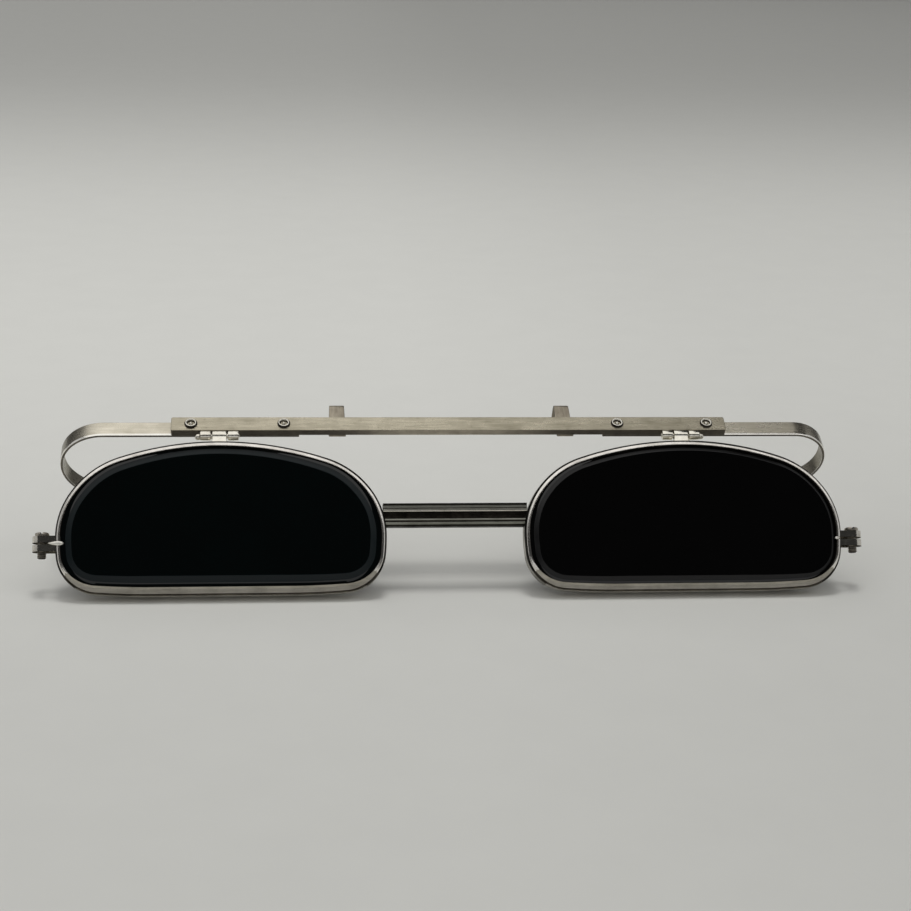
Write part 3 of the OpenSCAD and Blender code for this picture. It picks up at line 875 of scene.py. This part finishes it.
def sweep_outline(bm, section, skip_first=0.0, skip_last=0.0, closed=True):
    # section points are (distance outside the outline, height in front)
    point = Vector((RIM_MIDDLE + RIM_W / 2, -RIM_DROP - RIM_WIDEST, 0))
    angle = 0.0
    geom = ring(bm, [point + Vector((d, 0, z)) for d, z in section], closed=closed)
    if skip_first:
        radius = outline[0][0]
        start = Matrix.Rotation(-math.radians(skip_first), 4, "Z")
        about = point - Vector((radius, 0, 0))
        verts = [g for g in geom if isinstance(g, bmesh.types.BMVert)]
        bmesh.ops.rotate(bm, matrix=start, cent=about, verts=verts)
    for i, (radius, turn) in enumerate(outline):
        if radius == 0:
            point.x -= turn
            geom = push_on(bm, geom, (-turn, 0, 0))
            continue
        y, x = sin_cos(angle)
        centre = point - radius * Vector((x, y, 0))
        sweep = turn - (skip_first if i == 0 else 0) - (skip_last if i == len(outline) - 1 else 0)
        steps = math.ceil(turn / 2.5) + 4
        geom = spin_on(bm, geom, centre, (0, 0, 1), -sweep, steps)
        angle -= turn
        y, x = sin_cos(angle)
        point = centre + radius * Vector((x, y, 0))


# %% [markdown]
# ## Rims
# Each rim is a strip rolled into a U, so that it grips the edge of the glass between two lips, and
# bent round the lens. It is open at the temple by a narrow slit, which the closing screw pulls
# together. The section is drawn once and swept from one face of the slit round to the other.

# %% Section of a rim
RIM_T = 0.85
RIM_D = 3.3
RIM_FRONT = RIM_D - RIM_BEHIND
RIM_ROUND = 0.55
GROOVE = 0.45
LIP = 0.45
SOFT = 0.1
CROWN = 0.79


def quarter_round(radius, step):
    return [(radius * s, radius * c) for s, c in map(sin_cos, range(0, 91, step))]


back_corner = [(s - RIM_ROUND, RIM_ROUND - c - RIM_BEHIND) for s, c in quarter_round(RIM_ROUND, 15)]
front_corner = [(c - CROWN, RIM_FRONT - CROWN + s) for s, c in quarter_round(CROWN, 6)]
lip_under = RIM_FRONT - LIP
rim_section = back_corner + front_corner + [
    (SOFT * 0.25 - RIM_T, RIM_FRONT - SOFT * 0.25), (-RIM_T, RIM_FRONT - SOFT), (-RIM_T, lip_under),
    (GROOVE - RIM_T, lip_under), (GROOVE - RIM_T, LIP - RIM_BEHIND), (-RIM_T, LIP - RIM_BEHIND),
    (-RIM_T, SOFT - RIM_BEHIND), (SOFT * 0.3 - RIM_T, SOFT * 0.3 - RIM_BEHIND),
    (SOFT - RIM_T, -RIM_BEHIND),
]
print("points in the section of a rim:", len(rim_section))

# %% [markdown]
# The lower lip is broader than the upper one and tilts back a little, because the rim was filed
# there after it was bent. How low a face lies on the lens decides its shape and its metal, and so
# does its place in the section: d is 0 on the rim's outside and negative inwards, z is its height.

# %% Where a rim changes
SLIT = 0.35
SLIT_DROP = 17.7
below_widest = SLIT_DROP - RIM_DROP - RIM_WIDEST
slit_low = math.degrees(math.asin((below_widest + SLIT / 2) / LOWER_SIDE_R))
slit_high = math.degrees(math.asin((below_widest - SLIT / 2) / SIDE_R))
LOW_LIP = {"left": 0.62, "right": 0.5}
LOW_TILT = 0.6
LENS_MIDDLE_Y = -RIM_DROP - RIM_H / 2
LOW_START = 6.5
LOW_SPAN = 5
HIGH_START = 4
HIGH_SPAN = 6
ON_LIP = RIM_FRONT - LIP - 0.01
OUTSIDE = -0.3
INSIDE = -0.8
WALL_TOP = RIM_FRONT - 0.9
POLISH_FROM = RIM_FRONT - 0.3
CROWN_EDGE = RIM_FRONT - 0.02
SEAM_IN = -0.39
SEAM_OUT = -0.27
SEAM_FROM = RIM_FRONT - 0.5
rim_metals = [rim_metal, rim_side_dark_reflection, shade_paint, low_rim_metal, rim_wall_metal, dark_edge_paint]
POLISHED, DARK_SIDE, PAINTED_DARK, SATIN, FILED, PAINTED_DARK_EDGE = range(len(rim_metals))


def low_share(y):
    # 0 above the middle of the lens, 1 along its lower edge
    return max(0.0, min(1.0, (LENS_MIDDLE_Y - LOW_START - y) / LOW_SPAN))


def high_share(y):
    # 0 below the middle of the lens, 1 along its upper edge
    return max(0.0, min(1.0, (y - LENS_MIDDLE_Y - HIGH_START) / HIGH_SPAN))


def rim_kind(d, z, share):
    # near-black at the inner edge of the lip and on the outer rounding above the lower corners: painted
    # dark reflection; low down the outer wall takes the polished metal, a painted reflection of the
    # table; a thin line of painted shade runs along the lower lip
    if d < INSIDE and z > ON_LIP:
        return PAINTED_DARK
    if d > OUTSIDE and z < WALL_TOP and share < 0.9:
        return FILED
    if d > OUTSIDE and z < CROWN_EDGE and share < 0.9:
        return DARK_SIDE if share < 0.5 else PAINTED_DARK_EDGE
    if share < 0.5 or d > OUTSIDE and z < POLISH_FROM:
        return POLISHED
    return PAINTED_DARK if SEAM_IN < d < SEAM_OUT and z > SEAM_FROM else SATIN


print("the slit starts and ends at", round(slit_low, 2), "and", round(slit_high, 2), "degrees")

# %% [markdown]
# Each rim is swept once round, from one face of the slit to the other. Its points keep their place
# in the section in three layers, so that the lower lip can be shaped and every face coloured.

# %% Rims
for side, place in on_lens.items():
    bm = bmesh.new()
    across = bm.verts.layers.float.new("across")
    lip_side = bm.verts.layers.int.new("lip_side")
    front_side = bm.verts.layers.float.new("front_side")
    sweep_outline(bm, rim_section, skip_first=slit_low, skip_last=-slit_high)
    bm.verts.ensure_lookup_table()
    for i, vert in enumerate(bm.verts):
        d, z = rim_section[i % len(rim_section)]
        vert[across] = d
        vert[lip_side] = 1 if d < -0.45 and z > ON_LIP else 0
        vert[front_side] = RIM_T + d + 0.001 if z > ON_LIP else 0
    for face in bm.faces:
        middle = face.calc_center_median()
        d = sum(v[across] for v in face.verts) / len(face.verts)
        face.material_index = rim_kind(d, middle.z, low_share(middle.y))
    for vert in bm.verts:
        if vert[lip_side]:
            vert.co.y += LOW_LIP[side] * low_share(vert.co.y)
        if vert[front_side]:
            slope = vert[front_side] / RIM_T
            vert.co.z -= LOW_TILT * slope * low_share(vert.co.y)
    close_ends(bm)
    finish(f"grooved_rim_{side}", bm, place, "lens_frame", "rim_metal", rim_metals, f"rim_{side}")

# %% [markdown]
# ## Lenses
# The glass is flat. Its edge sits in the groove, and its front stands a little proud of that edge
# with a ground bevel between the two. The bevel was ground by hand and is wider below and towards
# the nose, so the polished face is moved up and outwards against the outline.

# %% Lenses
PLAY = 0.03
SINK = 0.08
BAND = {"left": 0.78, "right": 0.50}
GROUND = {"left": 0.95, "right": 0.62}
SHIFT = {"left": Vector((0.02, 0.12, 0)), "right": Vector((0.30, 0.1, 0))}
LOW_RISE = {"left": 0.5, "right": 0.35}
HIGH_RISE = {"left": 0.34, "right": 0.1}
SAG = 0.3
SAG_REACH = 22
edge_in = RIM_T - GROOVE + PLAY
face_in = RIM_T + PLAY
edge_z = lip_under - PLAY
band_z = edge_z + 0.02
face_z = RIM_FRONT - SINK
for side, place in on_lens.items():
    ring_out = face_in + BAND[side]
    lens_section = [
        (-face_in, SINK - RIM_BEHIND), (-face_in, LIP - RIM_BEHIND + PLAY),
        (-edge_in, LIP - RIM_BEHIND + PLAY), (-edge_in, edge_z), (-face_in, edge_z),
        (-ring_out, band_z), (-ring_out - GROUND[side] * 0.8, face_z - 0.03),
        (-ring_out - GROUND[side], face_z),
    ]
    bm = bmesh.new()
    sweep_outline(bm, lens_section, closed=False)
    bmesh.ops.remove_doubles(bm, verts=bm.verts, dist=0.001)
    close_ends(bm)
    for vert in bm.verts:
        low, high = low_share(vert.co.y), high_share(vert.co.y)
        rise = Vector((0, LOW_RISE[side] * low + HIGH_RISE[side] * high, 0))
        if vert.co.z > band_z + 0.02:
            rise.y += SAG * low * max(0.0, 1 - ((vert.co.x - RIM_MIDDLE) / SAG_REACH) ** 2)
            vert.co += SHIFT[side] + rise
        elif vert.co.z > edge_z + 0.01:
            vert.co += 0.5 * SHIFT[side] + rise
    bmesh.ops.recalc_face_normals(bm, faces=bm.faces)
    for face in bm.faces:
        ground = face.calc_center_median().z > band_z and face.normal.z < 0.9999
        face.material_index = 1 if ground else 0
    finish(
        f"glass_{side}", bm, place, "lens_frame", "dark_glass", glasses[side], f"lens_{side}",
        crease=60,
    )

# %% [markdown]
# ## Bridge
# The bridge is a bar with a groove rolled along its front and two round lips beside it. It is
# coped and soldered to both rims, so here its ends stop inside the rims' walls.

# %% Bridge
BRIDGE_D = 2.0
BRIDGE_GROOVE_D = 1.3
BRIDGE_DROP = 13.6
BRIDGE_TOP = 2.10
BRIDGE_LOW = -1.66
INTO_RIM = 0.55
half_l = RIM_MIDDLE - RIM_W / 2 + INTO_RIM
bridge_front = RIM_FRONT - (RIM_D - BRIDGE_D) / 2
# (height on the bridge, depth below its front, tint of the face that follows)
# The tints: 0 worn metal, 1 near-black side, a painted dark reflection, 2 painted shade in the groove
# and fine lines, 3 the upper lip in the brighter ear metal, a painted highlight
profile = [
    (BRIDGE_LOW, BRIDGE_D, 1), (BRIDGE_TOP, BRIDGE_D, 1), (BRIDGE_TOP, 0.19, 1), (2.07, 0.15, 1),
    (1.72, 0.14, 0), (1.34, 0.12, 2), (1.28, 0.18, 2), (1.21, 0.12, 0), (1.13, 0.03, 0),
    (0.98, 0, 3), (0.84, 0.02, 3), (0.73, 0.10, 3), (0.67, 0.22, 2), (0.67, BRIDGE_GROOVE_D, 2),
    (-0.37, BRIDGE_GROOVE_D, 2), (-0.37, 0.22, 0), (-0.41, 0.10, 0), (-0.50, 0.02, 0),
    (-0.60, 0, 0), (-0.70, 0.05, 2), (-0.79, 0.2, 2), (-0.89, 0.2, 2), (-0.98, 0.07, 0),
    (-1.08, 0.02, 0), (-1.20, 0.06, 0), (-1.36, 0.16, 1), (-1.55, 0.34, 1), (BRIDGE_LOW, 0.5, 1),
]
bm = bmesh.new()
tint = bm.edges.layers.int.new("tint")
geom = ring(bm, [(-half_l, y - BRIDGE_DROP, bridge_front - sunk) for y, sunk, kind in profile])
first = geom[len(profile):]
for edge, (y, sunk, kind) in zip(first, profile):
    edge[tint] = kind
push_on(bm, geom, (2 * half_l, 0, 0))
for edge in first:
    for face in edge.link_faces:
        face.material_index = edge[tint]
close_ends(bm)
finish(
    "grooved_bridge", bm, lens_frame, "lens_frame", "rim_metal",
    [bridge_metal, rim_side_dark_reflection, shade_paint, ear_metal], "bridge",
)

# %% [markdown]
# ## Closing joints
# An ear is soldered to the rim on each side of the slit. The ears are small plates with a round
# end, and a slotted screw draws the lower one up to the upper one. A drop of solder has run out
# along the slit, more of it at the left, and shows as a bright streak.

# %% Ears
EAR_T = 1.05
EAR_W = 2.99
EAR_CROWN = 0.3
EAR_SOFT = 0.1
EAR_ROOT = 62.5
SOLDER_AT = {"left": (63.2, 1.2, 0.62), "right": (62.6, 0.4, 0.42)}
SOLDER_TAPER = 0.5
SOLDER_D = 0.18
SCREW_X = 65.5
RIM_MID_Z = RIM_FRONT - RIM_D / 2
ear_metals = [ear_metal, streak_metal]
for side, place in on_lens.items():
    for name, low in (("upper", SLIT / 2 - SLIT_DROP), ("lower", -SLIT_DROP - SLIT / 2 - EAR_T)):
        bm = bmesh.new()
        front = RIM_MID_Z + EAR_W / 2
        geom = ring(bm, [(EAR_ROOT, low, front), (EAR_ROOT, low + EAR_T, front)], closed=False)
        geom = push_on(bm, geom, (SCREW_X - EAR_ROOT, 0, 0))
        geom = spin_on(bm, geom, (SCREW_X, low, RIM_MID_Z), (0, 1, 0), 180, 24)
        push_on(bm, geom, (EAR_ROOT - SCREW_X, 0, 0))
        close_ends(bm)
        round_edges(bm, EAR_CROWN, 4, keep=lambda e: min(v.co.y for v in e.verts) > low + EAR_T - 0.01)
        round_edges(bm, EAR_SOFT)
        if name == "upper":
            blob = bmesh.new()
            bmesh.ops.create_uvsphere(blob, u_segments=32, v_segments=16, radius=1)
            for vert in blob.verts:
                vert.co.y *= 1 - SOLDER_TAPER * vert.co.x
            middle, half_long, height = SOLDER_AT[side]
            flat = Matrix.Diagonal((half_long, height / 2, SOLDER_D, 1))
            at = Matrix.Translation((middle, -SLIT_DROP, RIM_FRONT - 0.05))
            bmesh.ops.transform(blob, matrix=at @ flat, verts=blob.verts)
            for face in blob.faces:
                face.material_index = 1
            join_into(bm, blob)
        finish(
            f"ear_plate_{name}_{side}", bm, place, "lens_frame", "rim_metal", ear_metals,
            f"ear_{name}_{side}",
        )

# %% [markdown]
# ## Closing screws
# A spectacle screw has a low head with a saw-cut slot. The head, the shank and the thread that
# stands out below are one turned profile.

# %% Shape of a screw
SCREW_R = 0.7
HEAD_R = 1.125
HEAD_H = 0.7
SLOT_W = 0.42
SLOT_FLOOR = HEAD_H - 0.32
SCREW_OUT = 1.05
SCREW_TIP = -(SLIT + 2 * EAR_T + SCREW_OUT)
THREAD = 0.07
PITCH = 0.26
screw_line = [(SCREW_TIP, 0), (SCREW_TIP, SCREW_R - 0.2)]
threads = int(SCREW_OUT / PITCH)
for i in range(threads):
    low = SCREW_TIP + 0.08 + i * PITCH
    screw_line += [(low, SCREW_R - THREAD), (low + 0.09, SCREW_R)]
    screw_line += [(low + 0.16, SCREW_R), (low + 0.24, SCREW_R - THREAD)]
screw_line += [
    (SCREW_TIP + SCREW_OUT, SCREW_R - THREAD), (0, SCREW_R - THREAD), (0, HEAD_R - 0.08),
    (0.04, HEAD_R - 0.02), (0.10, HEAD_R), (0.42, HEAD_R), (0.52, HEAD_R - 0.04), (0.60, HEAD_R - 0.13),
    (0.66, HEAD_R - 0.32), (0.69, HEAD_R - 0.6), (HEAD_H, 0),
]
print("threads that stand out of the lower ear:", threads)

# %% [markdown]
# The slot is sawn. Three cuts part the chips from the head, the chips are taken out, and the walls
# and the floor are closed again.

# %% Helpers that saw a slot
def saw(bm, at, normal):
    geom = [*bm.verts, *bm.edges, *bm.faces]
    bmesh.ops.bisect_plane(bm, geom=geom, plane_co=at, plane_no=normal, dist=0.0001)


def cut_slot(bm):
    # what lies between two upright cuts and above the floor is taken out, and the slot closed
    saw(bm, (0, -SLOT_W / 2, 0), (0, 1, 0))
    saw(bm, (0, SLOT_W / 2, 0), (0, 1, 0))
    saw(bm, (SLOT_FLOOR, 0, 0), (1, 0, 0))
    chips = []
    for face in bm.faces:
        middle = face.calc_center_median()
        if middle.x > SLOT_FLOOR and abs(middle.y) < SLOT_W / 2:
            chips.append(face)
    bmesh.ops.delete(bm, geom=chips, context="FACES")
    open_edges = [e for e in bm.edges if len(e.link_faces) == 1]
    for y in (-SLOT_W / 2, SLOT_W / 2):
        wall = [e for e in open_edges if all(abs(v.co.y - y) < 0.001 for v in e.verts)]
        ends = [v for e in wall for v in e.verts if abs(v.co.x - SLOT_FLOOR) < 0.001]
        ends = sorted(set(ends), key=lambda v: v.co.z)
        wall.append(bm.edges.new((ends[0], ends[-1])))
        bmesh.ops.contextual_create(bm, geom=wall)
    close_ends(bm)


# %% [markdown]
# The slot and the flat end of the screw get the near-black material, painted shade. The
# screw is drawn lying along X and is stood up between the ears by its own matrix.

# %% Screws
stand = Matrix.Rotation(math.radians(90), 4, "Z")
on_ear = Matrix.Translation((SCREW_X, SLIT / 2 + EAR_T - SLIT_DROP, RIM_MID_Z))
for side, side_frame in on_lens.items():
    bm = bmesh.new()
    lathe(bm, screw_line)
    cut_slot(bm)
    for face in bm.faces:
        middle = face.calc_center_median()
        in_slot = abs(middle.y) < SLOT_W / 2 + 0.001 and middle.x > SLOT_FLOOR - 0.001
        in_thread = middle.x < SCREW_TIP + SCREW_OUT and face.normal.x > 0.4
        face.material_index = 1 if in_slot or in_thread else 0
    finish(
        f"slotted_screw_{side}", bm, side_frame @ on_ear @ stand, "lens_frame", "screw_steel",
        [dark_metal, shade_paint], f"screw_{side}", crease=35,
    )

# %% [markdown]
# ## Camera
# The photograph was taken from a little above and to the left, close by and with a long lens. Its
# place was found from the ends of the bar, the rims and the ears, which are known in the model and
# can be measured in the photo.

# %% Camera
CAMERA_YAW = 5.705
CAMERA_RISE = 19.239
CAMERA_ROLL = 1.741
CAMERA_DISTANCE = 293.058
CAMERA_TARGET = Vector((0.557, 0, 19.283))
PIXEL_FOCUS = 1784.26
IMAGE_WIDTH = 911
yaw_sin, yaw_cos = sin_cos(CAMERA_YAW)
rise_sin, rise_cos = sin_cos(CAMERA_RISE)
towards = Vector((-yaw_sin * rise_cos, -yaw_cos * rise_cos, rise_sin))
eye = (CAMERA_TARGET + CAMERA_DISTANCE * towards) * MM
camera_data = bpy.data.cameras.new("camera")
camera_data.sensor_width = 36
camera_data.lens = PIXEL_FOCUS / IMAGE_WIDTH * camera_data.sensor_width
camera_data.clip_start = 0.01
camera_data.clip_end = 50
camera = put("camera", camera_data)
roll = Matrix.Rotation(math.radians(CAMERA_ROLL), 4, "Z")
facing = towards.to_track_quat("Z", "Y").to_matrix().to_4x4()
camera.matrix_world = Matrix.Translation(eye) @ facing @ roll
bpy.context.scene.camera = camera
print("camera at", [round(c, 4) for c in eye], "lens", round(camera_data.lens, 2), "mm")

# %% [markdown]
# ## The table
# The shade stands on a pale, nearly white sheet that curves up behind it and falls into shade. Here
# a flat floor takes that fall of light into its paint: soft steps of tone along Y, a little less
# light to the right, and a fine mottle of fibres. The floor still catches the real shadows.

# %% Paper of the table
PAPER = (0.865, 0.87, 0.835)
MOTTLE = 0.025
SHADE_ASIDE = 0.08
SHADE_RIGHT = 0.93
SWEEP_NEAR = -0.12
SWEEP_FAR = 1.1
SWEEP_TONES = [
    (-0.12, 0.765), (-0.03, 0.78), (0.04, 0.905), (0.12, 0.95), (0.2, 0.94), (0.3, 0.90), (0.39, 0.80),
    (0.49, 0.68), (0.6, 0.60), (0.78, 0.585), (1.1, 0.68),
]
floor_material, tree, shader, where = new_material("pale_table")
shader.inputs["Roughness"].default_value = 0.6
split = add(tree, "SeparateXYZ")
depth = remap(tree, SWEEP_NEAR, SWEEP_FAR)
sweep = add(tree, "ValToRGB")
sweep.color_ramp.interpolation = "B_SPLINE"
stops = sweep.color_ramp.elements
stops[0].position = 0
stops[1].position = 1
for y, value in SWEEP_TONES[1:-1]:
    stops.new((y - SWEEP_NEAR) / (SWEEP_FAR - SWEEP_NEAR))
for stop, (y, value) in zip(stops, SWEEP_TONES):
    stop.color = (value, value, value, 1)
aside = remap(tree, 0.0, SHADE_ASIDE, 1.0, SHADE_RIGHT)
fibres = add(tree, "TexNoise", Scale=90.0, Detail=4.0, Roughness=0.6)
mottle = remap(tree, 0.0, 1.0, 1 - MOTTLE, 1 + MOTTLE)
tone = add(tree, "Math", operation="MULTIPLY")
fine_tone = add(tree, "Math", operation="MULTIPLY")
paint = add(tree, "VectorMath", operation="SCALE")
paint.inputs[0].default_value = PAPER
link = linker(tree)
link(where, "Object", split, "Vector")
link(split, "Y", depth, "Value")
link(split, "X", aside, "Value")
link(depth, "Result", sweep, "Fac")
link(where, "Object", fibres, "Vector")
link(fibres, "Fac", mottle, "Value")
link(sweep, "Color", tone, 0)
link(aside, "Result", tone, 1)
link(tone, "Value", fine_tone, 0)
link(mottle, "Result", fine_tone, 1)
link(fine_tone, "Value", paint, "Scale")
link(paint, "Vector", shader, "Base Color")
print("table tones:", len(SWEEP_TONES), "steps")

# %% [markdown]
# The floor itself is one large flat square at the height where the shade stands. It is the stage of
# the picture and no part of the object.

# %% Table top
bm = bmesh.new()
bmesh.ops.create_grid(bm, x_segments=1, y_segments=1, size=4)
mesh = bpy.data.meshes.new("table_top")
bm.to_mesh(mesh)
bm.free()
mesh.materials.append(floor_material)
table_top = put("table_top", mesh)
table_top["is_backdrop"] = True
print("table top:", len(mesh.polygons), "face")

# %% [markdown]
# ## Lamps
# Most of the light comes from a wide soft panel overhead, which the bar and the crowns of the rims
# mirror. It reaches less far to the right, so the bar darkens there, and a smaller panel nearer the
# camera helps out on that side. Cards at the sides and low in front light the loops and the barrels,
# and the glass mirrors the dark gap between panel and card, so it stays black. A small key lamp
# draws the shadows and is kept out of the mirror images.

# %% Lamps
WARM = (1, 0.99, 0.975)
WARMER = (1, 0.99, 0.97)


def lamp(name, at, aim, width, depth, power, colour=(1, 1, 1)):
    data = bpy.data.lights.new(name, "AREA")
    data.shape = "RECTANGLE"
    data.size = width
    data.size_y = depth
    data.energy = power
    data.color = colour
    item = put(name, data)
    item.location = at
    item.rotation_euler = (Vector(aim) - Vector(at)).to_track_quat("-Z", "Y").to_euler()
    return item


lamp("ceiling_panel", (-0.45, 0.3, 1.3), (-0.45, 0.3, 0), 1.6, 2.8, 12.2, WARM)
lamp("ceiling_panel_right", (0.95, -0.5, 1.3), (0.95, -0.5, 0), 1.2, 1.2, 3.6, WARM)
lamp("front_card", (0, -1.6, 0.3), (0, 0, 0.3), 2.6, 0.56, 2.4)
lamp("side_card_left", (-1.6, 0.1, 0.75), (0, 0.1, 0.75), 2.2, 1.5, 4.6)
lamp("side_card_right", (1.6, 0.1, 0.75), (0, 0.1, 0.75), 2.2, 1.5, 4.4)
key = lamp("key_lamp", (0.02, 0.32, 1.75), (0, 0, 0), 0.4, 0.4, 8.0, WARMER)
key.visible_glossy = False

# %% [markdown]
# ## The room
# The room itself is nearly dark, because black glass shows every light in it. Only the camera sees
# a pale backdrop behind the table.

# %% World and view
ROOM_COLOUR = (0.03, 0.03, 0.03)
BACKDROP_COLOUR = (0.50, 0.50, 0.49)
world = bpy.data.worlds.new("room")
bpy.context.scene.world = world
world.use_nodes = True
tree = world.node_tree
room = tree.nodes["Background"]
room.inputs["Color"].default_value = (*ROOM_COLOUR, 1)
backdrop = add(tree, "Background")
backdrop.inputs["Color"].default_value = (*BACKDROP_COLOUR, 1)
ray = add(tree, "LightPath")
chosen = add(tree, "MixShader")
link = linker(tree)
link(ray, "Is Camera Ray", chosen, "Fac")
link(room, "Background", chosen, 1)
link(backdrop, "Background", chosen, 2)
link(chosen, "Shader", tree.nodes["World Output"], "Surface")
bpy.context.scene.view_settings.view_transform = "Standard"
print("view transform:", bpy.context.scene.view_settings.view_transform)

# %% [markdown]
# ## Last look at the sizes
# The box round the dressed object is measured here, in metres. The dressed object has to fill the
# same box as the model that it replaces.

# %% Sizes
low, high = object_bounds()
